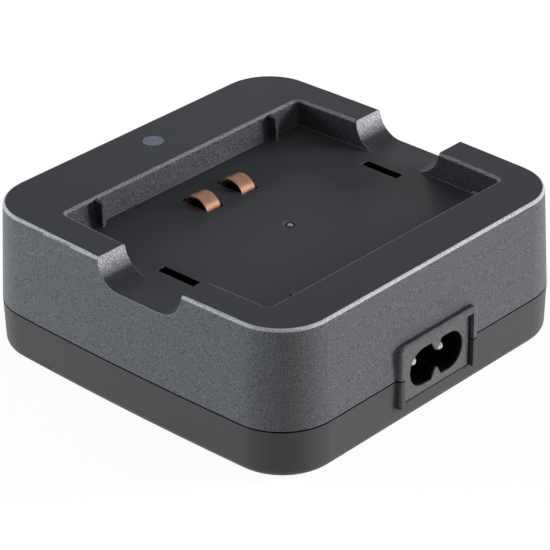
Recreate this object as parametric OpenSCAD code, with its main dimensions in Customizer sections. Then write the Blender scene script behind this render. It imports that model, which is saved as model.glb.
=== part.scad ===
// Desk charger for a flat camera battery: a rounded square box in two shells with a battery bay on top,
// two sprung contacts in the bay, an indicator on the rear rim and a two-pole mains inlet in front.
// Units are millimetres. Origin is the middle of the flat base, +Z is up, the inlet faces -Y.

/* [Body] */
// Width over the two notched sides, at the seam
body_w = 92.4; // [84:0.2:100]
// Depth from the inlet side to the indicator side, at the seam
body_d = 90.1; // [82:0.2:98]
// Height of the whole body
body_h = 34.2; // [32:0.2:38]
// Height of the seam between the shells
seam_z = 11.3; // [10.9:0.1:13]
// Plan corner radius at the seam
corner_r = 13; // [10:0.5:16]
// Sagitta of the two notched sides
crown = 1.1; // [0.4:0.1:2]
// How far the upper walls lean in from seam to top
upper_draft = 1.15; // [0.6:0.05:1.6]
// How far the lower walls lean in from seam to base
lower_draft = 0.25; // [0.1:0.05:0.6]
// Radius round the top edge
top_fillet = 0.8; // [0.4:0.1:1.2]
// Radius round the base edge
base_fillet = 2.2; // [1.2:0.1:2.6]
// Wall thickness of both shells
wall = 2; // [1.6:0.1:2.4]

/* [Battery bay] */
// Bay width at the rim
bay_w = 74.4; // [70:0.2:77]
// Bay length at the rim
bay_d = 58.8; // [54:0.2:61]
// Bay depth from rim to floor
bay_depth = 6.1; // [5:0.1:6.8]
// How far the bay centre sits towards the inlet
bay_shift = 2.75; // [2:0.05:4]
// How far the bay walls lean in from rim to floor
bay_draft = 0.5; // [0.3:0.1:1.2]
// Plan radius in the bay corners
bay_r = 1.5; // [1:0.1:3]
// Radius round the rim of the bay
rim_fillet = 0.8; // [0.4:0.1:1]
// Width of the two finger notches
notch_w = 23.8; // [18:0.2:26]
// How far the left notch centre sits towards the inlet
notch_shift = 4.3; // [2:0.1:5]
// How much further from the inlet the right notch sits
notch_lead = 1.85; // [0:0.05:2]
// Distance of the rear ribs from the middle
rear_rib_x = 27; // [20:0.5:32]
// Distance of the front ribs from the middle
front_rib_x = 28.5; // [20:0.5:32]
// Thickness of the guide ribs
rib_t = 0.9; // [0.7:0.1:1.4]
// Distance of the latch slots from the middle
latch_x = 31.9; // [30:0.1:33]
// Length of the latch slots
latch_len = 10.3; // [8:0.1:12]

/* [Contacts] */
// Distance of each contact from the middle
contact_x = 5.45; // [4.6:0.05:7]
// Width of a contact leaf
leaf_w = 4.1; // [3:0.1:4.3]
// Thickness of a contact leaf
leaf_t = 0.35; // [0.25:0.05:0.5]
// Outer radius of the leaf's crown
leaf_r = 3.7; // [3.3:0.05:3.8]

/* [Inlet and indicator] */
// Pitch of the inlet pins
pin_pitch = 8.6; // [8.4:0.1:8.8]
// Diameter of the inlet pins
pin_d = 2.36; // [2.2:0.02:2.5]
// Width of the inlet face
inlet_w = 21.2; // [20:0.1:22]
// Height of the inlet face
inlet_h = 12.4; // [11.6:0.1:12.6]
// How far the moulded frame stands out round the inlet
frame_proud = 1.1; // [0.8:0.1:1.5]
// Width of the frame's bars
frame_bar = 1.5; // [1.2:0.1:2]
// Diameter of the indicator lens
lens_d = 4.5; // [3.6:0.1:5]
// Distance of the indicator from the rear edge
lens_in = 8.75; // [8:0.05:11]

/* [Inside] */
// Thickness of the circuit board
board_t = 1.6; // [1:0.1:2]
// Clearance under the circuit board
board_gap = 1.2; // [1:0.1:1.6]
// Room between the board and the widest part of the side walls
board_side = 8.2; // [7.5:0.1:10]
// Room between the board and the front of the body
board_front_in = 7.05; // [6.5:0.05:9]
// Room between the board and the rear of the body
board_rear_in = 6.05; // [5.5:0.05:8]

/* [Hidden] */
$fn = 96;

a = body_w / 2;
b = body_d / 2;
seam_gap = 0.14;
floor_z = body_h - bay_depth;
plate_t = 1.8;
under_z = floor_z - plate_t;
tub_wall = 1.8;
board_z = wall + board_gap;
top_b = board_z + board_t;
inlet_z = top_b + inlet_h / 2 + 0.2;
inlet_gap = 0.35;
inlet_y = -b - 0.15;
inlet_back = -b + 17.25;
notch_r = bay_depth - 0.1;
rear_rib_d = 2.4;
front_rib_d = 1.4;
boss_x = a - 11.2;
boss_y = b - 11;
boss_r = 3.6;
screw_r = 1.45;
lens_y = b - lens_in;
foot_x = a - 21.2;
foot_y = b - 8.5;
crown_y = bay_d / 2 - bay_shift - 10.45;
crown_z = floor_z - 1.6;
pivot_y = crown_y + 7.2;
pivot_z = floor_z - 3.5;
board_x = a - board_side;
board_front = b - board_front_in;
board_rear = b - board_rear_in;

// Places on the board, as distances from its left, right, front and rear edges.
function from_left(d) = d - board_x;
function from_right(d) = board_x - d;
function from_front(d) = d - board_front;
function from_rear(d) = board_rear - d;
tr_x = from_right(16);
tr_y = from_front(43);
choke_x = from_right(14);
choke_y = from_front(21);

// Plan outline helpers: half width p, half depth q, corner radius r, sagitta s.
function big(q, s) = (q * q + s * s) / (2 * s);
function cx(p, q, r, s) = p - big(q, s) + sqrt(pow(big(q, s) - r, 2) - pow(q - r, 2));
function turn(q, r, s) = asin((q - r) / (big(q, s) - r));

// Sweeps a flat section round the plan outline. In the section x is the distance outside the outline.
// The pieces meet on flat faces along X and Y, and off moves the corner centres a little inwards.
module sweep(p, q, r, s, off) {
  mid = round(1000 * cx(p, q, r, s)) / 1000 + off;
  rs = round(10 * big(q, s)) / 10;
  th = 1.3 * turn(q, r, s);
  for (m = [0, 1]) {
    mirror([m, 0, 0])
      intersection() {
        translate([p - rs, 0, 0])
          rotate([0, 0, -th])
            rotate_extrude(angle = 2 * th)
              intersection() {
                translate([rs, 0]) children();
                translate([rs - r - 6, -1]) square([r + 10, 60]);
              }
        translate([mid - 2, r - q, -2]) cube([r + 8, 2 * (q - r), 64]);
      }
    for (n = [0, 1]) {
      mirror([m, 0, 0])
        mirror([0, n, 0])
          translate([mid, q - r, 0])
            rotate_extrude(angle = 90)
              intersection() {
                translate([r, 0]) children();
                translate([0, -1]) square([r + 4, 60]);
              }
    }
  }
  for (n = [0, 1]) {
    mirror([0, n, 0])
      translate([-mid, 0, 0])
        rotate([90, 0, 90])
          linear_extrude(height = 2 * mid)
            intersection() {
              translate([q, 0]) children();
              translate([-1, -1]) square([q + 5, 60]);
            }
  }
}

// The sections run past the seam, the top and the ceiling, and are trimmed flat there.
module upper_section() {
  z1 = seam_z + seam_gap;
  z2 = body_h - top_fillet + 0.02;
  slope = upper_draft / (z2 - z1);
  polygon([[-60, z1 - 2], [2 * slope, z1 - 2], [-upper_draft, z2], [-60, z2]]);
  translate([-60, z2]) square([60 - upper_draft - top_fillet, top_fillet + 2]);
  intersection() {
    translate([-upper_draft - top_fillet, z2]) circle(r = top_fillet);
    translate([-upper_draft - top_fillet, z2]) square([top_fillet, top_fillet]);
  }
}

module upper_hollow() {
  z1 = seam_z + 1.4;
  z2 = body_h - wall;
  slope = upper_draft / (z2 - z1);
  polygon([[-60, seam_z - 3], [-0.9, seam_z - 3], [-0.9, z1], [-wall, z1],
    [-wall - upper_draft - 3 * slope, z2 + 3], [-60, z2 + 3]]);
}

module lower_section() {
  z2 = seam_z - seam_gap;
  polygon([[-60, base_fillet], [-lower_draft, base_fillet], [0, z2], [-60, z2]]);
  translate([-60, 0]) square([60 - lower_draft - base_fillet, base_fillet]);
  intersection() {
    translate([-lower_draft - base_fillet, base_fillet]) circle(r = base_fillet);
    translate([-lower_draft - base_fillet, 0]) square([base_fillet, base_fillet]);
  }
}

module lower_lip() {
  polygon([[-60, seam_z - 2], [-1, seam_z - 2], [-1, seam_z + 3], [-60, seam_z + 3]]);
}

module lower_hollow() {
  polygon([[-60, wall], [-wall - 0.6, wall], [-wall, seam_z - 1], [-wall, seam_z + 5],
    [-60, seam_z + 5]]);
}

module bay_section() {
  zc = body_h - rim_fillet + 0.02;
  uc = rim_fillet - bay_draft * rim_fillet / bay_depth;
  slope = bay_draft / bay_depth;
  polygon([[-60, floor_z - 1], [-bay_draft - slope, floor_z - 1], [uc - rim_fillet, zc], [uc - rim_fillet, body_h + 2],
    [-60, body_h + 2]]);
  difference() {
    translate([uc - rim_fillet - 0.1, zc]) square([rim_fillet + 0.1, rim_fillet + 1]);
    translate([uc, zc]) circle(r = rim_fillet);
  }
}

// Middle of the left (-1) and right (1) finger notch.
function notch_y(m) = m < 0 ? -notch_shift : notch_lead - notch_shift;

// The finger notch as a cutter that runs along X.
module notch_cut(m, x0, x1) {
  hw = notch_w / 2;
  translate([x0, notch_y(m), 0])
    rotate([90, 0, 90])
      linear_extrude(height = x1 - x0) {
        translate([-hw + notch_r, floor_z]) square([2 * hw - 2 * notch_r, bay_depth + 2]);
        translate([-hw, floor_z + notch_r]) square([2 * hw, bay_depth + 2 - notch_r]);
        for (k = [-1, 1])
          translate([k * (hw - notch_r), floor_z + notch_r]) circle(r = notch_r);
      }
}

// Section of the inlet frame: u runs outwards from the inner edge, v outwards from the wall.
module bar_section() {
  r = 0.6;
  difference() {
    translate([0, -2.4]) square([frame_bar, frame_proud + 2.4]);
    difference() {
      translate([frame_bar - r, frame_proud - r]) square([r + 1, r + 1]);
      translate([frame_bar - r, frame_proud - r]) circle(r = r);
    }
  }
}

// The moulded surround of the inlet, open at the bottom, before the shells share it at the seam.
module surround() {
  w = inlet_w / 2 + 0.3;
  h0 = inlet_z - inlet_h / 2 - inlet_gap;
  h1 = inlet_z + inlet_h / 2 + 0.3;
  for (m = [0, 1])
    mirror([m, 0, 0]) {
      translate([w, -b, h0]) linear_extrude(height = h1 - h0) mirror([0, 1]) bar_section();
      translate([w, -b, h1]) rotate([90, 0, 0]) rotate_extrude(angle = 90) bar_section();
    }
  translate([-w, -b, h1]) rotate([90, 0, 90]) linear_extrude(height = 2 * w) mirror([1, 0]) rotate(90) mirror([0, 1]) bar_section();
}

module inlet_hole() {
  w = inlet_w / 2 + 0.3;
  h = inlet_h + 0.3 + inlet_gap;
  translate([-w, -b - 4, inlet_z - inlet_h / 2 - inlet_gap]) cube([2 * w, 10, h]);
}

module bay_place() {
  translate([0, -bay_shift, 0]) children();
}

module upper_housing() {
  color([0.27, 0.28, 0.3]) {
    difference() {
      union() {
        difference() {
          sweep(a, b, corner_r, crown, 0) upper_section();
          difference() {
            sweep(a, b, corner_r, crown, 0) upper_hollow();
            translate([-80, -80, body_h - wall]) cube([160, 160, 20]);
          }
          translate([-80, -80, seam_z + seam_gap - 10]) cube([160, 160, 10]);
          translate([-80, -80, body_h]) cube([160, 160, 10]);
        }
        // The tub round the bay, solid under the notches.
        translate([-bay_w / 2 - tub_wall, -bay_shift - bay_d / 2 - tub_wall, under_z])
          cube([bay_w + 2 * tub_wall, bay_d + 2 * tub_wall, body_h - 1 - under_z]);
        for (m = [-1, 1])
          translate([m * (a - wall - 0.4) / 2, notch_y(m), 0])
            translate([-(a - wall - 0.4) / 2, -notch_w / 2 - tub_wall, under_z])
              cube([a - wall - 0.4, notch_w + 2 * tub_wall, body_h - 1 - under_z]);
        for (m = [-1, 1])
          for (n = [-1, 1])
            translate([m * boss_x, n * boss_y, seam_z]) cylinder(r = boss_r, h = body_h - 1 - seam_z);
        intersection() {
          surround();
          translate([-30, -b - 10, seam_z + seam_gap]) cube([60, 20, 30]);
        }
      }
      difference() {
        bay_place() sweep(bay_w / 2, bay_d / 2, bay_r, 0.76, -0.02) bay_section();
        translate([-60, -60, floor_z - 10]) cube([120, 120, 10]);
      }
      notch_cut(-1, -a - 2, -bay_w / 2 + 4);
      notch_cut(1, bay_w / 2 - 4, a + 2);
      inlet_hole();
      // Latch slots, contact slots with their relief from below, indicator hole and centre dimple.
      for (m = [-1, 1]) {
        translate([m * latch_x - 1.2, -2.6 - latch_len / 2, under_z - 1]) cube([2.4, latch_len, plate_t + 2]);
        translate([m * contact_x - leaf_w / 2 - 0.25, crown_y - 4.3, under_z - 1])
          cube([leaf_w + 0.5, 8.5, plate_t + 2]);
        translate([m * contact_x - leaf_w / 2 - 0.25, crown_y + 3.7, under_z - 1])
          cube([leaf_w + 0.5, 3.5, plate_t + 0.1]);
      }
      translate([0, lens_y, body_h - wall - 1]) cylinder(d = lens_d, h = wall + 2);
      translate([0, -4.4, floor_z - 0.45]) cylinder(d1 = 2.2, d2 = 3.4, h = 0.45);
      translate([0, -4.4, floor_z]) cylinder(d = 3.4, h = 1);
      for (m = [-1, 1])
        for (n = [-1, 1])
          translate([m * boss_x, n * boss_y, seam_z - 1]) cylinder(r = screw_r, h = 10);
    }
    // Guide ribs on the two long walls, and the pip in the dimple.
    for (m = [-1, 1]) {
      translate([m * rear_rib_x - rib_t / 2, -bay_shift + bay_d / 2 - rear_rib_d, floor_z - 0.2])
        cube([rib_t, rear_rib_d + 0.5, bay_depth - 0.2]);
      translate([m * front_rib_x - rib_t / 2, -bay_shift - bay_d / 2 - 0.5, floor_z - 0.2])
        cube([rib_t, front_rib_d + 0.5, bay_depth - 0.2]);
    }
    translate([0, -4.4, floor_z - 0.6]) cylinder(d1 = 1.4, d2 = 1, h = 0.45);
  }
}

module lower_housing() {
  color([0.33, 0.34, 0.36])
    difference() {
      union() {
        difference() {
          sweep(a, b, corner_r, crown, 0) {
            lower_section();
            lower_lip();
          }
          sweep(a, b, corner_r, crown, 0) lower_hollow();
          translate([-80, -80, seam_z + 1.2]) cube([160, 160, 10]);
        }
        for (m = [-1, 1])
          for (n = [-1, 1]) {
            translate([m * boss_x, n * boss_y, wall - 0.5]) cylinder(r = boss_r + 0.2, h = seam_z - wall + 0.5);
            translate([m * from_right(8), n * (b - 21.05), wall - 0.5]) cylinder(r = 2.2, h = board_gap + 0.5);
          }
        intersection() {
          surround();
          translate([-30, -b - 10, 0]) cube([60, 20, seam_z - seam_gap]);
        }
      }
      inlet_hole();
      for (m = [-1, 1])
        for (n = [-1, 1]) {
          translate([m * boss_x, n * boss_y, -1]) cylinder(r = 3, h = 6);
          translate([m * boss_x, n * boss_y, 4]) cylinder(r = 1.6, h = seam_z);
          translate([m * foot_x, n * foot_y, -1]) cylinder(r = 4.5, h = 1.9);
        }
    }
}

module indicator_lens() {
  color([0.5, 0.54, 0.6]) {
    translate([0, lens_y, body_h - wall]) cylinder(d = lens_d - 0.04, h = wall);
    translate([0, lens_y, body_h - wall - 1]) cylinder(d = lens_d + 1.5, h = 1);
    translate([0, lens_y, top_b + 1.5]) cylinder(d = 3.4, h = body_h - wall - 0.5 - top_b - 1.5);
  }
}

// The sprung leaf of a contact: a crown, a leg down to the pivot and a rounded end on the pivot line.
module leaf(x) {
  y1 = crown_y + leaf_r * cos(35);
  z1 = crown_z + leaf_r * sin(35);
  zb = pivot_z - leaf_t / 2;
  yb = y1 + (z1 - zb) / tan(55);
  leg = (z1 - zb) / sin(55);
  color([0.72, 0.45, 0.33])
    translate([x - leaf_w / 2, 0, 0])
      rotate([90, 0, 90])
        linear_extrude(height = leaf_w) {
          difference() {
            translate([crown_y, crown_z]) circle(r = leaf_r);
            translate([crown_y, crown_z]) circle(r = leaf_r - leaf_t);
            translate([crown_y - 8, crown_z - 8]) square([16, 8]);
            polygon([[crown_y, crown_z], [crown_y + 12 * cos(34), crown_z + 12 * sin(34)],
              [crown_y + 12, crown_z - 8], [crown_y, crown_z - 8]]);
          }
          intersection() {
            translate([y1, z1]) rotate(-55) translate([-0.2, -leaf_t]) square([leg + 1.2, leaf_t]);
            translate([y1 - 2, zb]) square([8, 12]);
          }
          translate([yb - leaf_t, zb]) square([pivot_y - yb + leaf_t, leaf_t]);
          translate([pivot_y, pivot_z]) circle(r = leaf_t / 2);
        }
}

// The fixed tail of a contact, from the pivot line through the carrier and down into the board.
module tail(x) {
  y0 = pivot_y + leaf_t / 2;
  color([0.72, 0.45, 0.33]) {
    translate([x - leaf_w / 2, y0, pivot_z - leaf_t / 2]) cube([leaf_w, 6, leaf_t]);
    translate([x - 0.8, y0 + 6 - leaf_t, board_z - 0.6]) cube([1.6, leaf_t, pivot_z + leaf_t / 2 - board_z + 0.6]);
  }
}

module contact_left() { leaf(-contact_x); }
module contact_right() { leaf(contact_x); }
module contact_tail_left() { tail(-contact_x); }
module contact_tail_right() { tail(contact_x); }

module contact_carrier() {
  color([0.82, 0.8, 0.74])
    difference() {
      translate([-10, pivot_y + 0.6, pivot_z - 2.4]) cube([20, 4.6, under_z - pivot_z + 2.4]);
      for (m = [-1, 1])
        translate([m * contact_x - leaf_w / 2, pivot_y - 1, pivot_z - leaf_t / 2]) cube([leaf_w, 8, leaf_t]);
    }
}

module inlet_opening() {
  difference() {
    union() {
      for (m = [-1, 1])
        translate([m * 4, 0]) circle(r = 4.45);
      square([8, 8.9], center = true);
    }
    for (n = [0, 1])
      mirror([0, n]) polygon([[-1.7, -4.6], [-0.35, -2.2], [0.35, -2.2], [1.7, -4.6]]);
  }
}

module inlet_body() {
  color([0.3, 0.31, 0.33])
    difference() {
      translate([-inlet_w / 2, inlet_y, inlet_z - inlet_h / 2]) cube([inlet_w, inlet_back - inlet_y, inlet_h]);
      translate([0, inlet_back - 4.5, inlet_z]) rotate([90, 0, 0]) linear_extrude(height = 16) inlet_opening();
      for (m = [-1, 1])
        translate([m * pin_pitch / 2, inlet_back + 2, inlet_z]) rotate([90, 0, 0]) cylinder(d = pin_d, h = 12);
    }
  // Two posts that stand the inlet on the board.
  color([0.3, 0.31, 0.33])
    for (m = [-1, 1])
      translate([m * 8.6 - 1, inlet_back - 6, top_b]) cube([2, 4, inlet_z - inlet_h / 2 - top_b]);
}

module inlet_pin(x) {
  tip = inlet_y + 3.4;
  color([0.8, 0.8, 0.8]) {
    translate([x, tip, inlet_z])
      rotate([90, 0, 0])
        rotate_extrude() {
          translate([0, tip - inlet_back - 1]) square([pin_d / 2, inlet_back + 1 - tip]);
          intersection() {
            circle(d = pin_d);
            square([pin_d, pin_d / 2 - 0.08]);
          }
        }
    translate([x - 0.6, inlet_back, board_z - 0.6]) cube([1.2, 1, inlet_z - board_z + 0.6]);
  }
}

module inlet_pin_left() { inlet_pin(-pin_pitch / 2); }
module inlet_pin_right() { inlet_pin(pin_pitch / 2); }

module circuit_board() {
  color([0.1, 0.35, 0.2])
    difference() {
      translate([-board_x, -board_front, board_z]) cube([2 * board_x, board_front + board_rear, board_t]);
      for (m = [-1, 1])
        for (n = [-1, 1])
          translate([m * boss_x, n * boss_y, board_z - 1]) cylinder(r = boss_r + 0.8, h = 4);
      for (m = [-1, 1]) {
        translate([m * (board_x + 2) - 6, n0(1), board_z - 1]) cube([12, 10, 4]);
        translate([m * (board_x + 2) - 6, n0(-1), board_z - 1]) cube([12, 10, 4]);
        translate([m * contact_x - 0.8, pivot_y + leaf_t / 2 + 6 - leaf_t, board_z - 1]) cube([1.6, leaf_t, 4]);
        translate([m * pin_pitch / 2 - 0.6, inlet_back, board_z - 1]) cube([1.2, 1, 4]);
      }
    }
}
function n0(m) = m > 0 ? boss_y - 2 : -boss_y - 8;

module transformer_core() {
  color([0.18, 0.17, 0.17])
    translate([tr_x, tr_y, top_b]) {
      difference() {
        translate([-10, -4, 1.5]) cube([20, 8, 17]);
        translate([-7, -5, 4.5]) cube([14, 10, 11]);
      }
      translate([-2.5, -4, 1.5]) cube([5, 8, 17]);
    }
}

module transformer_bobbin() {
  color([0.1, 0.1, 0.1])
    translate([tr_x, tr_y, top_b])
      difference() {
        union() {
          translate([-6.9, -8, 4.6]) cube([13.8, 16, 1]);
          translate([-6.9, -8, 14.3]) cube([13.8, 16, 1]);
          translate([-3.6, -5, 4.6]) cube([7.2, 10, 10.7]);
          for (n = [-1, 1]) {
            translate([-9.5, n * 6.6 - 1.6, 0]) cube([19, 3.2, 1.5]);
            translate([-6.9, n * 6.6 - 1.4, 0]) cube([13.8, 2.8, 5]);
          }
        }
        translate([-2.5, -9, 4]) cube([5, 5, 12]);
        translate([-2.5, -4, 4]) cube([5, 8, 12]);
        translate([-2.5, 4, 4]) cube([5, 5, 12]);
      }
}

module transformer_winding() {
  color([0.85, 0.7, 0.2])
    translate([tr_x, tr_y, top_b + 5.6])
      difference() {
        translate([-6.4, -7.4, 0]) cube([12.8, 14.8, 8.7]);
        translate([-3.6, -5, -1]) cube([7.2, 10, 11]);
      }
}

module can(x, y, r, h) {
  color([0.12, 0.13, 0.2])
    translate([x, y, top_b]) {
      cylinder(r = r, h = 1.2);
      cylinder(r = r - 0.3, h = 2.2);
      translate([0, 0, 2]) cylinder(r = r, h = h - 2);
    }
}

module bulk_capacitor() { can(from_left(13), from_front(21), 6.3, 18); }
module output_capacitor_front() { can(from_left(14), from_rear(33), 4, 12); }
module output_capacitor_rear() { can(from_left(14), from_rear(22), 4, 12); }

module output_choke() {
  color([0.2, 0.2, 0.22])
    translate([from_left(26), from_rear(20), top_b]) {
      cylinder(r = 4, h = 1.5);
      cylinder(r = 2.6, h = 9);
      translate([0, 0, 7.5]) cylinder(r = 4, h = 1.5);
    }
}

module x_capacitor() {
  color([0.85, 0.68, 0.15]) translate([from_right(22), from_front(4.5), top_b]) cube([15, 6.5, 12]);
}

module y_capacitor() {
  color([0.2, 0.4, 0.65]) {
    translate([4, from_front(25), top_b + 6]) rotate([90, 0, 0]) cylinder(r = 4, h = 3, center = true);
    for (m = [-1, 1])
      translate([4 + m * 2.5 - 0.3, from_front(24.7), top_b]) cube([0.6, 0.6, 4]);
  }
}

module mains_choke() {
  color([0.25, 0.3, 0.25])
    translate([choke_x, choke_y, top_b])
      difference() {
        union() {
          translate([0, 0, 1]) cylinder(r = 7, h = 7);
          translate([-5, -6.5, 0]) cube([10, 13, 1]);
        }
        translate([0, 0, 1]) cylinder(r = 3.4, h = 9);
      }
}

module coil(m) {
  color([0.75, 0.4, 0.2])
    translate([choke_x, choke_y, top_b])
        difference() {
          translate([m * 5.6 - 3, -4.5, 1]) cube([6, 9, 8]);
          translate([0, 0, 0]) cylinder(r = 7, h = 8);
          translate([m * -3, -6, 0]) cube([5, 12, 10], center = true);
          translate([0, 0, -1]) cylinder(r = 3.4, h = 12);
        }
}

module mains_choke_coil_left() { coil(-1); }
module mains_choke_coil_right() { coil(1); }

module bridge_rectifier() {
  color([0.13, 0.13, 0.14]) {
    translate([from_left(25), from_front(16), top_b + 0.6]) cube([8.4, 6.4, 2.6]);
    for (m = [0, 1])
      for (n = [0, 1])
        translate([from_left(26) + m * 5.1, from_front(15) + n * 7.4, top_b]) cube([1.2, 1, 1.8]);
  }
}

module switch_transistor() {
  color([0.13, 0.13, 0.14]) {
    translate([-9, -7.4, top_b + 4]) cube([10, 4.4, 9]);
    for (m = [-1, 0, 1])
      translate([-4 + m * 2.54 - 0.4, -5.4, top_b]) cube([0.8, 0.5, 5]);
  }
}

module heat_sink() {
  color([0.75, 0.76, 0.78])
    difference() {
      union() {
        translate([-14, -3, top_b]) cube([20, 1.5, 16]);
        for (m = [0, 1, 2, 3])
          translate([-14 + m * 6.1, -1.6, top_b + 1]) cube([1.7, 4, 15]);
      }
      translate([-4, 0, top_b + 15]) rotate([90, 0, 0]) cylinder(r = 1.5, h = 6);
    }
}

module fuse() {
  color([0.8, 0.78, 0.7]) {
    translate([from_left(8), from_front(7), top_b + 2.8]) rotate([0, 90, 0]) cylinder(r = 2.2, h = 15);
    for (m = [0, 1]) {
      translate([from_left(8) + m * 11, from_front(7), top_b + 2.8]) rotate([0, 90, 0]) cylinder(r = 2.6, h = 4);
      translate([from_left(9) + m * 12, from_front(6.5), top_b]) cube([1, 1, 2]);
    }
  }
}

module opto_coupler() {
  color([0.9, 0.9, 0.86]) {
    translate([10, 19, top_b + 0.5]) cube([6.5, 4.6, 3.4]);
    for (m = [0, 1])
      for (n = [0, 1])
        translate([11 + m * 3.4, 18 + n * 5.6, top_b]) cube([1, 1, 1.5]);
  }
}

module control_chip() {
  color([0.1, 0.1, 0.11]) {
    translate([-14, from_rear(32), top_b + 0.4]) cube([6, 5, 1.7]);
    for (m = [0, 1, 2, 3])
      for (n = [0, 1])
        translate([-13.8 + m * 1.5, from_rear(32.8) + n * 5.8, top_b]) cube([0.5, 0.8, 0.9]);
  }
}

module indicator_led() {
  color([0.95, 0.95, 0.9]) translate([-1.6, lens_y - 1.2, top_b]) cube([3.2, 2.4, 1.4]);
}

module screw(x, y) {
  color([0.6, 0.6, 0.62])
    translate([x, y, 0])
      difference() {
        union() {
          translate([0, 0, 3]) cylinder(r = 2.7, h = 2);
          translate([0, 0, 4.9]) cylinder(r = screw_r, h = 13);
        }
        translate([-2, -0.35, 2.9]) cube([4, 0.7, 1]);
        translate([-0.35, -2, 2.9]) cube([0.7, 4, 1]);
      }
}

module screw_front_left() { screw(-boss_x, -boss_y); }
module screw_front_right() { screw(boss_x, -boss_y); }
module screw_rear_left() { screw(-boss_x, boss_y); }
module screw_rear_right() { screw(boss_x, boss_y); }

module foot(x, y) {
  color([0.08, 0.08, 0.08]) translate([x, y, 0]) cylinder(r = 4.4, h = 0.9);
}

module foot_front_left() { foot(-foot_x, -foot_y); }
module foot_front_right() { foot(foot_x, -foot_y); }
module foot_rear_left() { foot(-foot_x, foot_y); }
module foot_rear_right() { foot(foot_x, foot_y); }

upper_housing();
lower_housing();
indicator_lens();
contact_left();
contact_right();
contact_tail_left();
contact_tail_right();
contact_carrier();
inlet_body();
inlet_pin_left();
inlet_pin_right();
circuit_board();
transformer_core();
transformer_bobbin();
transformer_winding();
bulk_capacitor();
output_capacitor_front();
output_capacitor_rear();
output_choke();
x_capacitor();
y_capacitor();
mains_choke();
mains_choke_coil_left();
mains_choke_coil_right();
bridge_rectifier();
switch_transistor();
heat_sink();
fuse();
opto_coupler();
control_chip();
indicator_led();
screw_front_left();
screw_front_right();
screw_rear_left();
screw_rear_right();
foot_front_left();
foot_front_right();
foot_rear_left();
foot_rear_right();
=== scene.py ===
# Battery charger: the CAD frame dressed for a studio shot. Lengths are in metres.
import bpy
import math
from mathutils import Matrix, Vector


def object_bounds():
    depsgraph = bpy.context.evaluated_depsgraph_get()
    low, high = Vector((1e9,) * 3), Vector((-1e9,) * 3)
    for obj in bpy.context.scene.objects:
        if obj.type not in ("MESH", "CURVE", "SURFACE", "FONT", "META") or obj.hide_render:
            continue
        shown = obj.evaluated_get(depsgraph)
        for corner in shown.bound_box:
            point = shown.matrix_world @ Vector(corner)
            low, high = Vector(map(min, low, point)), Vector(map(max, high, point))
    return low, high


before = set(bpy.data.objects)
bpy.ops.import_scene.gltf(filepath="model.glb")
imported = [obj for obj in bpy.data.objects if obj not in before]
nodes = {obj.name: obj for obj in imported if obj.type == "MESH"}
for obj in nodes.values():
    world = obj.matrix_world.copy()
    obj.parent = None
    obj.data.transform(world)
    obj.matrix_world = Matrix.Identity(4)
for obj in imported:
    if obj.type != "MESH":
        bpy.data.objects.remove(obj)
cadLow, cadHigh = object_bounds()
scene = bpy.context.scene
scene.view_settings.view_transform = "Standard"
print("stage: frame loaded,", len(nodes), "CAD nodes")

# The camera stands at the photograph's angle. Angles are in degrees, lens and sensor in millimetres.
cameraSetup = {
    "azimuth": -46.97,
    "elevation": 29.44,
    "roll": -0.63,
    "distance": 0.6092,
    "aim": (0.0, 0.0, 0.01436),
    "lens": 185.08,
    "sensor": 36,
    "shift": (-0.0009, -0.0029),
    "clip": (0.05, 20),
}


def placeCamera(setup):
    turn, lift, roll = (math.radians(setup[angle]) for angle in ("azimuth", "elevation", "roll"))
    back = Vector((math.sin(turn) * math.cos(lift), -math.cos(turn) * math.cos(lift), math.sin(lift)))
    right = Vector((math.cos(turn), math.sin(turn), 0))
    up = back.cross(right)
    rightRolled = right * math.cos(roll) + up * math.sin(roll)
    upRolled = up * math.cos(roll) - right * math.sin(roll)
    data = bpy.data.cameras.new("studioCamera")
    data.sensor_width = setup["sensor"]
    data.lens = setup["lens"]
    data.shift_x, data.shift_y = setup["shift"]
    data.clip_start, data.clip_end = setup["clip"]
    camera = bpy.data.objects.new("studioCamera", data)
    scene.collection.objects.link(camera)
    turned = Matrix((rightRolled, upRolled, back)).transposed().to_4x4()
    turned.translation = Vector(setup["aim"]) + back * setup["distance"]
    camera.matrix_world = turned
    scene.camera = camera


placeCamera(cameraSetup)

# Two soft boxes stand to the left and right of the line of sight, so the near corner between them stays dark.
# They aren't mirrored. The two weak lamps are, as a sheen on the smooth plastic and on the copper.
lightSetup = {
    "left": {
        "at": (-0.52, 0.75, 0.20), "size": (0.34, 0.40), "power": 7.8,
        "tint": (0.95, 0.98, 1.0), "mirrored": False,
    },
    "right": {
        "at": (1.36, -1.18, 0.42), "size": (0.62, 0.84), "power": 41.0,
        "tint": (1.0, 0.985, 1.0), "mirrored": False,
    },
    "rear": {
        "at": (0.42, 0.39, 0.13), "size": (0.30, 0.12), "power": 0.19,
        "tint": (0.94, 0.97, 1.0), "mirrored": True,
    },
    "sheen": {
        "at": (0.62, -0.60, 0.37), "size": (0.30, 0.24), "power": 0.95,
        "tint": (1.0, 1.0, 1.0), "mirrored": True,
    },
}


def placeLights(setup):
    for name, row in setup.items():
        data = bpy.data.lights.new(name + "Box", "AREA")
        data.shape = "RECTANGLE"
        data.size, data.size_y = row["size"]
        data.energy = row["power"]
        data.color = row["tint"]
        lamp = bpy.data.objects.new(name + "Box", data)
        scene.collection.objects.link(lamp)
        lamp.visible_glossy = row["mirrored"]
        lamp.location = row["at"]
        lamp.rotation_mode = "QUATERNION"
        lamp.rotation_quaternion = Vector(row["at"]).to_track_quat("Z", "Y")


placeLights(lightSetup)
print("stage: camera and lights")


# The small functions from here to bumped build the node trees of the world, the floor and the materials.
def feed(tree, socketShade, value):
    if isinstance(value, bpy.types.NodeSocket):
        tree.links.new(value, socketShade)
    else:
        socketShade.default_value = value


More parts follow.
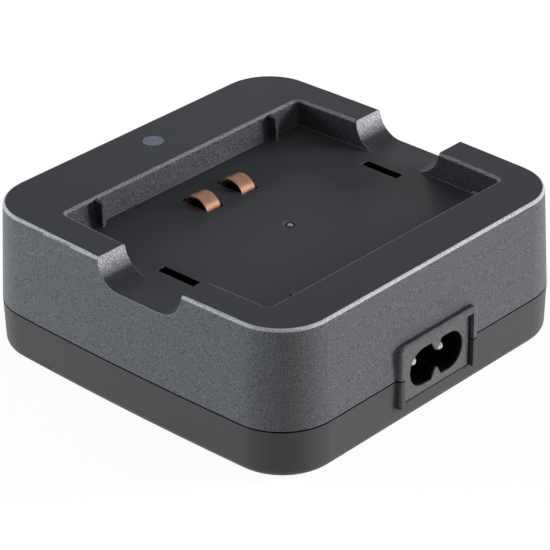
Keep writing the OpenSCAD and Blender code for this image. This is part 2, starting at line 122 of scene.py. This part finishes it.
def addNode(tree, kind, inputs=None, **settings):
    node = tree.nodes.new(kind)
    for key, value in settings.items():
        setattr(node, key, value)
    for key, value in (inputs or {}).items():
        feed(tree, node.inputs[key], value)
    return node


def calculated(tree, operation, *values):
    return addNode(tree, "ShaderNodeMath", dict(enumerate(values)), operation=operation).outputs[0]


def below(tree, value, limit):
    return calculated(tree, "LESS_THAN", value, limit)


def above(tree, value, limit):
    return calculated(tree, "GREATER_THAN", value, limit)


def magnitude(tree, value):
    return calculated(tree, "ABSOLUTE", value)


def every(tree, *shares):
    result = shares[0]
    for share in shares[1:]:
        result = calculated(tree, "MULTIPLY", result, share)
    return result


def either(tree, *shares):
    result = shares[0]
    for share in shares[1:]:
        result = calculated(tree, "MAXIMUM", result, share)
    return result


def axes(tree, vector):
    return addNode(tree, "ShaderNodeSeparateXYZ", {0: vector}).outputs[:]


def mapped(tree, value, span, target=(0.0, 1.0)):
    return addNode(tree, "ShaderNodeMapRange", {
        "Value": value, "From Min": span[0], "From Max": span[1],
        "To Min": target[0], "To Max": target[1]}).outputs["Result"]


def noise(tree, place, width, roughness=0.5):  # width is that of one grain
    return addNode(tree, "ShaderNodeTexNoise", {
        "Vector": place, "Scale": 1 / width, "Detail": 3.0, "Roughness": roughness}).outputs["Fac"]


def chosen(tree, share, first, second):
    node = addNode(tree, "ShaderNodeMix", {0: share, 2: first, 3: second}, data_type="FLOAT")
    return node.outputs[0]


def mixedColour(tree, share, first, second):
    node = addNode(tree, "ShaderNodeMix", {0: share}, data_type="RGBA")
    colourInputs = [socketShade for socketShade in node.inputs if socketShade.type == "RGBA"]
    for socketShade, colour in zip(colourInputs, (first, second)):
        feed(tree, socketShade, colour if isinstance(colour, bpy.types.NodeSocket) else (*colour, 1))
    return [socketShade for socketShade in node.outputs if socketShade.type == "RGBA"][0]


def varied(tree, share, colour, tones):
    darker, lighter = (tuple(min(1, tone * part) for part in colour) for tone in tones)
    return mixedColour(tree, share, darker, lighter)


# The shading rounds the sharp edges of the mesh to this radius.
def rounded(tree, radius):
    return addNode(tree, "ShaderNodeBevel", {"Radius": radius}, samples=6).outputs[0]


def bumped(tree, height, depth, strength=1.0, normal=None):
    node = addNode(tree, "ShaderNodeBump", {"Height": height, "Strength": strength, "Distance": depth})
    if normal is not None:
        tree.links.new(normal, node.inputs["Normal"])
    return node.outputs[0]


# The world is brighter overhead than at the horizon.
worldSetup = {"horizon": 0.09, "zenith": 0.38, "heights": (0.0, 0.9)}


def paintWorld(setup):
    world = bpy.data.worlds.new("studioWorld")
    scene.world = world
    world.use_nodes = True
    tree = world.node_tree
    tree.nodes.clear()
    height = axes(tree, addNode(tree, "ShaderNodeTexCoord").outputs["Generated"])[2]
    ramp = mapped(tree, height, setup["heights"], (setup["horizon"], setup["zenith"]))
    glow = addNode(tree, "ShaderNodeBackground", {"Color": ramp, "Strength": 1.0})
    addNode(tree, "ShaderNodeOutputWorld", {0: glow.outputs[0]})


paintWorld(worldSetup)

# Floor: matte to the light; to the camera a white glow is added, with the charger's own shadow left on it.
floorSetup = {"half": 3.0, "drop": 0.0001, "albedo": 0.72, "shadowShare": 0.14, "glow": 0.93}


def makeFloor(setup):
    mesh = bpy.data.meshes.new("studioFloor")
    h = setup["half"]
    mesh.from_pydata([(-h, -h, 0), (h, -h, 0), (h, h, 0), (-h, h, 0)], [], [(0, 1, 2, 3)])
    floor = bpy.data.objects.new("studioFloor", mesh)
    scene.collection.objects.link(floor)
    floor.location.z = cadLow.z - setup["drop"]
    mat = bpy.data.materials.new("paleFloor")
    mat.use_nodes = True
    tree = mat.node_tree
    tree.nodes.clear()
    path = addNode(tree, "ShaderNodeLightPath")
    rays = ("Is Camera Ray", "Is Glossy Ray", "Is Transmission Ray")
    seen = either(tree, *(path.outputs[ray] for ray in rays))
    tone = mapped(tree, seen, (0, 1), (setup["albedo"], setup["albedo"] * setup["shadowShare"]))
    glow = every(tree, seen, setup["glow"])
    matte = addNode(tree, "ShaderNodeBsdfDiffuse", {"Color": tone})
    white = addNode(tree, "ShaderNodeEmission", {"Color": (1, 1, 1, 1), "Strength": glow})
    both = addNode(tree, "ShaderNodeAddShader", {0: matte.outputs[0], 1: white.outputs[0]})
    addNode(tree, "ShaderNodeOutputMaterial", {"Surface": both.outputs[0]})
    mesh.materials.append(mat)


makeFloor(floorSetup)
print("stage: world and floor")


def newMaterial(name):
    mat = bpy.data.materials.new(name)
    mat.use_nodes = True
    tree = mat.node_tree
    tree.nodes.clear()
    shader = tree.nodes.new("ShaderNodeBsdfPrincipled")
    addNode(tree, "ShaderNodeOutputMaterial", {"Surface": shader.outputs[0]})
    place = addNode(tree, "ShaderNodeTexCoord").outputs["Object"]
    return mat, tree, shader, place


def dress(tree, shader, looks):
    for name, value in looks.items():
        feed(tree, shader.inputs[name], value)


# The spark-eroded grain of the upper shell and the inlet. The span runs from its valleys to its peaks.
erosion = {"width": 0.00027, "roughness": 0.65, "span": (0.38, 0.66)}


def eroded(tree, place):
    grain = noise(tree, place, erosion["width"], erosion["roughness"])
    return grain, mapped(tree, grain, erosion["span"])


# The recess round the inlet, as the middle and half sizes of a box: its walls are painted black, as painted
# shade for the dark of the gap.
recess = {"middle": (0.0, -0.03655, 0.0112), "half": (0.0110, 0.00855, 0.0066)}


def inletGapShade(tree, place):
    offset = addNode(tree, "ShaderNodeVectorMath", {0: place, 1: recess["middle"]}, operation="SUBTRACT")
    reach = addNode(tree, "ShaderNodeVectorMath", {0: offset.outputs[0]}, operation="ABSOLUTE")
    parts = zip(axes(tree, reach.outputs[0]), recess["half"])
    return every(tree, *(below(tree, part, half) for part, half in parts))


# The upper shell: spark-eroded sides, finer top, smooth bay floor, bay walls painted darker as shade, with
# painted highlights on their rims.
# A pair of colours holds the valleys and the peaks of the grain. A slope is the span of the normal's part,
# upward unless it is named otherwise, over which one finish fades into the next.
shellFinish = {
    "side": ((0.044, 0.048, 0.056), (0.192, 0.202, 0.221)),
    # sideFrontShade: the sides that face -Y, painted a little darker and greyer as shade.
    "sideFrontShade": ((0.046, 0.046, 0.051), (0.164, 0.163, 0.176)),
    # edge: painted highlight along the rounded outer edges near the top.
    "edge": ((0.32, 0.33, 0.35), (0.75, 0.76, 0.78)),
    # flank: painted highlight on the steep upper part of the notch flanks; flankShade: painted shade on their
    # lower part.
    "flank": ((0.11, 0.115, 0.125), (0.80, 0.81, 0.83)),
    "flankShade": ((0.014, 0.015, 0.017), (0.045, 0.047, 0.052)),
    # wall: the bay walls, painted darker as the shade in the bay; wallAcross: those that face -X, painted
    # darker still.
    "wall": ((0.011, 0.012, 0.014), (0.160, 0.168, 0.184)),
    "wallAcross": ((0.010, 0.011, 0.013), (0.062, 0.066, 0.074)),
    # rim: painted highlight along the rounded rims of the bay.
    "rim": ((0.085, 0.088, 0.094), (0.30, 0.31, 0.325)),
    "top": ((0.032, 0.035, 0.044), (0.037, 0.041, 0.050)),
    "floor": ((0.030, 0.032, 0.038), (0.034, 0.036, 0.042)),
    # pip and ringHighlight: a painted highlight on the dimple's centre and a lighter painted ring round it.
    "pip": (0.30, 0.31, 0.33),
    "ringHighlight": (0.085, 0.088, 0.095),
    # insideShade: black painted as shade under the bay floor and in the inlet recess, with no specular.
    "insideShade": (0.003, 0.003, 0.003),
    "sideRoughness": 0.50, "topRoughness": 0.55, "floorRoughness": 0.48,
    "specular": 0.4, "insideSpecular": 0.0,
    "grainDepth": 0.00004, "levelGrain": 0.10,  # the level faces have a tenth of the grain's depth
    "cloudWidth": 0.010, "edgeRadius": 0.00017,
    "levelSlope": (0.93, 0.985), "rimSlope": (0.10, 0.35), "flankSlope": (0.25, 0.75),
    "frontSlopeY": (-0.75, -0.55), "acrossSlopeX": (-0.85, -0.45),
    "bayHalf": 0.0385, "bayFront": -0.0335, "bayRear": 0.0275,
    "floorHeight": 0.0281, "floorAbove": 0.0003, "floorBelow": 0.00012, "edgeHeight": 0.025,
    "dimple": (0.0, -0.0044, 0.0281), "dimpleRadius": 0.0026,
    "ringInner": 0.00135, "ringOuter": 0.00172, "pipRadius": 0.00066,
    "notchInner": 0.0368, "notchFront": -0.0168, "notchRear": 0.0100,
    "notchFoot": 0.0278, "notchFacing": 0.4,
}


# Each area of the shell is a share from 0 to 1.
def shellAreas(tree, place, normal, f):
    x, y, z = axes(tree, place)
    normalX, normalY, upward = axes(tree, normal)
    across = magnitude(tree, x)
    fromDimple = addNode(tree, "ShaderNodeVectorMath", {0: place, 1: f["dimple"]}, operation="DISTANCE")
    away = fromDimple.outputs["Value"]
    isBay = every(
        tree, below(tree, across, f["bayHalf"]), above(tree, y, f["bayFront"]), below(tree, y, f["bayRear"]))
    isUnderFloor = every(
        tree, isBay, below(tree, z, f["floorHeight"] - f["floorBelow"]),
        above(tree, away, f["dimpleRadius"]))
    isFlank = every(
        tree, above(tree, across, f["notchInner"]),
        below(tree, magnitude(tree, normalX), f["notchFacing"]),
        above(tree, y, f["notchFront"]), below(tree, y, f["notchRear"]), above(tree, z, f["notchFoot"]))
    return {
        "bay": isBay,
        "flank": isFlank,
        "flankShade": mapped(tree, upward, f["flankSlope"]),
        "floor": below(tree, z, f["floorHeight"] + f["floorAbove"]),
        "level": either(
            tree, mapped(tree, upward, f["levelSlope"]), below(tree, away, f["dimpleRadius"])),
        "rim": every(
            tree, mapped(tree, upward, f["rimSlope"]), mapped(tree, upward, f["levelSlope"], (1.0, 0.0))),
        "outerEdge": above(tree, z, f["edgeHeight"]),
        "front": mapped(tree, normalY, f["frontSlopeY"], (1.0, 0.0)),
        "across": mapped(tree, normalX, f["acrossSlopeX"], (1.0, 0.0)),
        "ringHighlight": every(tree, above(tree, away, f["ringInner"]), below(tree, away, f["ringOuter"])),
        "pip": below(tree, away, f["pipRadius"]),
        "insideShade": either(tree, isUnderFloor, inletGapShade(tree, place)),
    }


def shellColour(tree, place, speck, area, f):
    tone = {name: mixedColour(tree, speck, *f[name])
            for name in ("side", "sideFrontShade", "edge", "flank", "flankShade", "wall", "wallAcross", "rim")}
    # The sides that face -Y take the darker colour of painted shade.
    side = mixedColour(tree, area["front"], tone["side"], tone["sideFrontShade"])
    # Bay walls painted darker as shade, those facing -X darker still.
    wall = mixedColour(tree, area["across"], tone["wall"], tone["wallAcross"])
    # Painted highlight on the rounded outer edges high on the shell.
    edge = mixedColour(tree, area["outerEdge"], side, tone["edge"])
    # Painted highlight on the rounded rims of the bay; every rounded edge takes one of the two painted
    # highlights.
    rim = mixedColour(tree, area["bay"], edge, tone["rim"])
    # Notch flanks: painted highlight above, fading into painted shade below.
    flank = mixedColour(tree, area["flankShade"], tone["flank"], tone["flankShade"])
    upright = mixedColour(tree, area["bay"], side, wall)
    upright = mixedColour(tree, area["rim"], upright, rim)
    upright = mixedColour(tree, area["flank"], upright, flank)
    cloud = noise(tree, place, f["cloudWidth"])
    top, floor = (mixedColour(tree, cloud, *f[name]) for name in ("top", "floor"))
    level = mixedColour(tree, area["floor"], top, floor)
    # The dimple: a lighter painted ring and a painted highlight on its centre.
    level = mixedColour(tree, area["ringHighlight"], level, f["ringHighlight"])
    level = mixedColour(tree, area["pip"], level, f["pip"])
    dressed = mixedColour(tree, area["level"], upright, level)
    # Black painted as shade under the bay floor and in the inlet recess.
    return mixedColour(tree, area["insideShade"], dressed, f["insideShade"])


def shellMaterial(f):
    mat, tree, shader, place = newMaterial("erodedShell")
    normal = rounded(tree, f["edgeRadius"])
    area = shellAreas(tree, place, normal, f)
    grain, speck = eroded(tree, place)
    levelRoughness = chosen(tree, area["floor"], f["topRoughness"], f["floorRoughness"])
    strength = mapped(tree, area["level"], (0, 1), (1.0, f["levelGrain"]))
    dress(tree, shader, {
        "Base Color": shellColour(tree, place, speck, area, f),
        "Roughness": chosen(tree, area["level"], f["sideRoughness"], levelRoughness),
        "Specular IOR Level": chosen(tree, area["insideShade"], f["specular"], f["insideSpecular"]),
        "Normal": bumped(tree, grain, f["grainDepth"], strength, normal),
    })
    return mat


# The lower shell: satin, with the shade of the seam along its top edge.
lowerFinish = {
    "tone": ((0.053, 0.053, 0.058), (0.059, 0.059, 0.064)),
    "shade": (0.006, 0.006, 0.006),
    "seamHeight": 0.0113, "seamShade": 0.00020,
    "specular": 0.38, "shadeSpecular": 0.0,
    "roughness": (0.46, 0.54),
    "cloudWidth": 0.009, "grainWidth": 0.0006, "grainDepth": 0.000004, "edgeRadius": 0.0002,
}


def lowerMaterial(f):
    mat, tree, shader, place = newMaterial("satinShell")
    height = axes(tree, place)[2]
    isTop = above(tree, height, f["seamHeight"] - f["seamShade"])
    isShade = either(tree, isTop, inletGapShade(tree, place))
    cloud = noise(tree, place, f["cloudWidth"])
    grain = noise(tree, place, f["grainWidth"])
    dress(tree, shader, {
        "Base Color": mixedColour(tree, isShade, mixedColour(tree, cloud, *f["tone"]), f["shade"]),
        "Roughness": mapped(tree, cloud, (0, 1), f["roughness"]),
        "Specular IOR Level": chosen(tree, isShade, f["specular"], f["shadeSpecular"]),
        "Normal": bumped(tree, grain, f["grainDepth"], 1.0, rounded(tree, f["edgeRadius"])),
    })
    return mat


# The inlet: eroded face; black painted as shade in the socket, and a dark line of painted shade at the right,
# the foot and the head, where the gap is.
inletFinish = {
    "face": ((0.075, 0.075, 0.078), (0.150, 0.150, 0.156)),
    # socketShade: black painted as shade behind the face and in the thin gap lines.
    "socketShade": (0.004, 0.004, 0.004),
    "faceDepth": -0.04480,
    "right": 0.0106, "foot": 0.0050, "head": 0.0174, "gapLine": 0.00024, "headLine": 0.00012,
    "specular": 0.4, "socketSpecular": 0.15,
    "roughness": 0.52, "grainDepth": 0.00003, "edgeRadius": 0.00018,
}


def inletMaterial(f):
    mat, tree, shader, place = newMaterial("inletMoulding")
    x, y, z = axes(tree, place)
    # Painted shade: everything behind the face, and thin lines along the right, the foot and the head.
    isSocketOrGapShade = either(
        tree, above(tree, y, f["faceDepth"]), above(tree, x, f["right"] - f["gapLine"]),
        below(tree, z, f["foot"] + f["gapLine"]), above(tree, z, f["head"] - f["headLine"]))
    grain, speck = eroded(tree, place)
    dress(tree, shader, {
        "Base Color": mixedColour(tree, isSocketOrGapShade, mixedColour(tree, speck, *f["face"]), f["socketShade"]),
        "Roughness": f["roughness"],
        "Specular IOR Level": chosen(tree, isSocketOrGapShade, f["specular"], f["socketSpecular"]),
        "Normal": bumped(tree, grain, f["grainDepth"], 1.0, rounded(tree, f["edgeRadius"])),
    })
    return mat


# The round indicator lens: smoky plastic that scatters a little light inside, under a thin gloss.
lensFinish = {
    "colour": (0.125, 0.148, 0.205), "tones": (0.8, 1.2), "cloudWidth": 0.0016,
    "roughness": (0.25, 0.40),
    "scatter": 0.3, "scatterReach": (0.001, 0.001, 0.0012), "scatterScale": 0.3,
    "gloss": 0.3, "glossRoughness": 0.15,
}


def lensMaterial(f):
    mat, tree, shader, place = newMaterial("smokyLens")
    cloud = noise(tree, place, f["cloudWidth"])
    dress(tree, shader, {
        "Base Color": varied(tree, cloud, f["colour"], f["tones"]),
        "Roughness": mapped(tree, cloud, (0, 1), f["roughness"]),
        "Subsurface Weight": f["scatter"],
        "Subsurface Radius": f["scatterReach"],
        "Subsurface Scale": f["scatterScale"],
        "Coat Weight": f["gloss"],
        "Coat Roughness": f["glossRoughness"],
    })
    return mat


# The circuit board: green resist on its two faces, bare laminate on its edges.
boardFinish = {
    "resist": (0.02, 0.09, 0.03), "core": (0.30, 0.26, 0.12), "faceSlope": 0.5, "roughness": 0.35,
    "weaveScale": 700.0, "weaveDistortion": 1.0, "weaveDepth": 0.00001, "weaveStrength": 0.5,
}


def boardMaterial(f):
    mat, tree, shader, place = newMaterial("boardLaminate")
    weave = addNode(tree, "ShaderNodeTexWave", {
        "Vector": place, "Scale": f["weaveScale"], "Distortion": f["weaveDistortion"]}).outputs["Fac"]
    upward = axes(tree, addNode(tree, "ShaderNodeNewGeometry").outputs["Normal"])[2]
    isFace = above(tree, magnitude(tree, upward), f["faceSlope"])
    dress(tree, shader, {
        "Base Color": mixedColour(tree, isFace, f["core"], f["resist"]),
        "Roughness": f["roughness"],
        "Normal": bumped(tree, weave, f["weaveDepth"], f["weaveStrength"]),
    })
    return mat


# Plainer mouldings: colour, roughness, width and depth of the grain, and specular level.
mouldings = {
    "rubberFoot": ((0.012, 0.012, 0.012), 0.85, 0.0005, 0.00002, 0.3),
    "bakedBlack": ((0.012, 0.012, 0.013), 0.5, 0.0004, 0.00001, 0.5),
    "bobbinPlastic": ((0.75, 0.72, 0.62), 0.5, 0.0008, 0.00001, 0.4),
    "yellowFilm": ((0.72, 0.55, 0.05), 0.4, 0.001, 0.00001, 0.5),
    "blueDisc": ((0.03, 0.12, 0.45), 0.4, 0.001, 0.00002, 0.5),
    "ferrite": ((0.03, 0.03, 0.032), 0.7, 0.0003, 0.00003, 0.4),
    "carrierPlastic": ((0.02, 0.02, 0.021), 0.55, 0.0006, 0.00001, 0.4),
    "canSleeve": ((0.01, 0.012, 0.03), 0.35, 0.001, 0.000008, 0.5),
    "tapeYellow": ((0.7, 0.6, 0.12), 0.35, 0.002, 0.00001, 0.5),
    "whiteBulb": ((0.7, 0.7, 0.68), 0.3, 0.001, 0.000005, 0.5),
    "fuseGlass": ((0.55, 0.56, 0.55), 0.15, 0.001, 0.000003, 0.5),
}
mouldingSpread = {"tones": (0.93, 1.07), "roughness": 0.05, "cloudWidth": 0.009, "grainRoughness": 0.6}


def mouldedMaterial(name, spread):
    colour, roughness, width, depth, specular = mouldings[name]
    mat, tree, shader, place = newMaterial(name)
    grain = noise(tree, place, width, spread["grainRoughness"])
    cloud = noise(tree, place, spread["cloudWidth"])
    limits = (roughness - spread["roughness"], roughness + spread["roughness"])
    dress(tree, shader, {
        "Base Color": varied(tree, cloud, colour, spread["tones"]),
        "Roughness": mapped(tree, cloud, (0, 1), limits),
        "Specular IOR Level": specular,
        "Normal": bumped(tree, grain, depth),
    })
    return mat


# Metals: colour, roughness, stretch of the grain along each axis (less than 1 draws it out), width and depth.
metals = {
    "brushedCopper": ((0.84, 0.47, 0.33), 0.44, (1.0, 0.05, 0.05), 0.00014, 0.000005),
    "nickelPin": ((0.86, 0.85, 0.80), 0.42, (1.0, 1.0, 1.0), 0.0008, 0.000001),
    "zincScrew": ((0.62, 0.62, 0.60), 0.30, (1.0, 1.0, 1.0), 0.0006, 0.000004),
    "sinkAluminium": ((0.75, 0.76, 0.77), 0.34, (1.0, 0.1, 1.0), 0.0003, 0.000005),
    "coilCopper": ((0.62, 0.26, 0.10), 0.30, (1.0, 1.0, 0.06), 0.0004, 0.00004),
}
metalSpread = {
    "tones": (0.82, 1.12), "toneSpan": (0.35, 0.65), "grainRoughness": 0.6,
    "smoother": 0.06, "rougher": 0.1, "roughnessSpan": (0.3, 0.7),
}


def metalMaterial(name, spread):
    colour, roughness, stretch, width, depth = metals[name]
    mat, tree, shader, place = newMaterial(name)
    drawn = addNode(tree, "ShaderNodeMapping", {"Vector": place, "Scale": stretch}).outputs[0]
    grain = noise(tree, drawn, width, spread["grainRoughness"])
    shade = mapped(tree, grain, spread["toneSpan"])
    limits = (roughness - spread["smoother"], roughness + spread["rougher"])
    dress(tree, shader, {
        "Base Color": varied(tree, shade, colour, spread["tones"]),
        "Roughness": mapped(tree, grain, spread["roughnessSpan"], limits),
        "Metallic": 1.0,
        "Normal": bumped(tree, grain, depth),
    })
    return mat


finishes = {
    "erodedShell": shellMaterial(shellFinish),
    "satinShell": lowerMaterial(lowerFinish),
    "inletMoulding": inletMaterial(inletFinish),
    "smokyLens": lensMaterial(lensFinish),
    "boardLaminate": boardMaterial(boardFinish),
}
for finishName in mouldings:
    finishes[finishName] = mouldedMaterial(finishName, mouldingSpread)
for finishName in metals:
    finishes[finishName] = metalMaterial(finishName, metalSpread)
print("stage: finishes,", len(finishes))

nodeFinish = {
    "upper_housing": "erodedShell", "lower_housing": "satinShell", "indicator_lens": "smokyLens",
    "contact_left": "brushedCopper", "contact_right": "brushedCopper",
    "contact_tail_left": "brushedCopper", "contact_tail_right": "brushedCopper",
    "contact_carrier": "carrierPlastic", "inlet_body": "inletMoulding",
    "inlet_pin_left": "nickelPin", "inlet_pin_right": "nickelPin", "circuit_board": "boardLaminate",
    "transformer_core": "ferrite", "transformer_bobbin": "bobbinPlastic",
    "transformer_winding": "tapeYellow", "bulk_capacitor": "canSleeve",
    "output_capacitor_front": "canSleeve", "output_capacitor_rear": "canSleeve",
    "output_choke": "ferrite", "x_capacitor": "yellowFilm", "y_capacitor": "blueDisc",
    "mains_choke": "ferrite", "mains_choke_coil_left": "coilCopper",
    "mains_choke_coil_right": "coilCopper", "bridge_rectifier": "bakedBlack",
    "switch_transistor": "bakedBlack", "heat_sink": "sinkAluminium", "fuse": "fuseGlass",
    "opto_coupler": "bakedBlack", "control_chip": "bakedBlack", "indicator_led": "whiteBulb",
}
groupFinish = {"screw": "zincScrew", "foot": "rubberFoot"}  # by the first word of the node's name
for name, obj in nodes.items():
    key = nodeFinish.get(name) or groupFinish[name.split("_")[0]]
    obj.data.materials.clear()
    obj.data.materials.append(finishes[key])

print("stage: CAD nodes finished")
